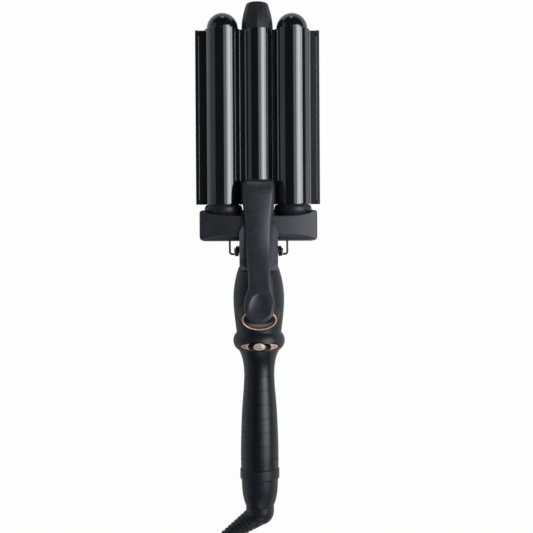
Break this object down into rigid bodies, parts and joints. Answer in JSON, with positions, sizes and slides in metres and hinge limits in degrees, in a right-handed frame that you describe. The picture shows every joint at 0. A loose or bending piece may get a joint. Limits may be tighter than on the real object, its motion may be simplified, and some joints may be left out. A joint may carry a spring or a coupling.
{
  "type": "hair waver",
  "caption": "Three-barrel hair waver with a sprung clamp lever, oval display, push buttons, grooved grip and a mains cord on a swivel.",
  "frame": {"origin": "middle of the flat back of the base bar, on the surface that the object lies on", "axes": "+Y along the barrels towards their tips, +Z away from the surface towards the lever and display, +X across the barrels"},
  "size_m": [0.1566, 0.5691, 0.066],
  "materials": {
    "bar_plastic": "soft satin black",
    "handle_plastic": "soft satin black",
    "grip_rubber": "soft matt",
    "coated_barrel": "glossy black coating",
    "collar_plastic": "glossy",
    "gloss_black": "piano gloss",
    "rose_gold": "rose gold plating, polished",
    "steel": "bare",
    "black_steel": "black oxide, glossy",
    "aluminium": "as extruded",
    "ceramic": "unglazed",
    "brass": "bare",
    "board": "printed circuit board",
    "component": "moulded",
    "lens": "dark tinted",
    "cord": "satin jacket"
  },
  "bodies": {
    "head": {"bar_front_cover": "bar_plastic", "bar_rear_cover": "bar_plastic", "bar_screws": "black_steel", "barrel_carrier": "steel", "left_barrel": "coated_barrel", "right_barrel": "coated_barrel", "left_dome_cap": "gloss_black", "right_dome_cap": "gloss_black", "left_collar": "collar_plastic", "right_collar": "collar_plastic", "left_heat_spreader": "aluminium", "right_heat_spreader": "aluminium", "left_heater_strip": "ceramic", "right_heater_strip": "ceramic", "thermostats": "component", "neck_fork": "handle_plastic", "hinge_pin": "steel", "left_spring": "black_steel", "right_spring": "black_steel", "handle_front_shell": "handle_plastic", "handle_rear_shell": "handle_plastic", "handle_screws": "black_steel", "grip_sleeve": "grip_rubber", "end_ring": "handle_plastic", "end_cap": "handle_plastic", "contact_block": "component", "display_boss": "gloss_black", "display_ring": "rose_gold", "display_lens": "lens", "display_module": "component", "control_strip": "gloss_black", "control_board": "board", "button_switches": "component", "main_board": "board", "board_parts": "component", "heater_leads": "cord"},
    "clamp": {"lever_shell": "handle_plastic", "lever_under_cover": "handle_plastic", "hinge_bush": "brass", "press_extrusion": "coated_barrel", "cool_tip": "handle_plastic", "centre_heat_spreader": "aluminium", "centre_heater_strip": "ceramic", "lever_screws": "black_steel"},
    "power_key": {"power_button": "rose_gold"},
    "minus_key": {"minus_button": "rose_gold"},
    "plus_key": {"plus_button": "rose_gold"},
    "cord_swivel": {"swivel_elbow": "handle_plastic", "strain_relief": "cord", "cord_tube": "cord", "cord_coil": "cord", "cord_tail": "cord", "plug_body": "cord", "plug_blades": "brass"}
  },
  "joints": [
    {"name": "clamp_hinge", "type": "hinge", "parent": "head", "child": "clamp", "pos_m": [0, -0.0207, 0.03], "axis": [1, 0, 0], "range_deg": [0, 13], "stiffness_Nm_per_rad": 1.6, "springref_deg": -20.05},
    {"name": "power_button_press", "type": "slide", "parent": "head", "child": "power_key", "axis": [0, 0, -1], "range_m": [0, 0.0006], "stiffness_N_per_m": 900, "springref_m": -0.0008},
    {"name": "minus_button_press", "type": "slide", "parent": "head", "child": "minus_key", "axis": [0, 0, -1], "range_m": [0, 0.0006], "stiffness_N_per_m": 900, "springref_m": -0.0008},
    {"name": "plus_button_press", "type": "slide", "parent": "head", "child": "plus_key", "axis": [0, 0, -1], "range_m": [0, 0.0006], "stiffness_N_per_m": 900, "springref_m": -0.0008},
    {"name": "cord_swivel_turn", "type": "hinge", "parent": "head", "child": "cord_swivel", "pos_m": [0, -0.225, 0.0206], "axis": [0, 1, 0], "continuous": true}
  ]
}
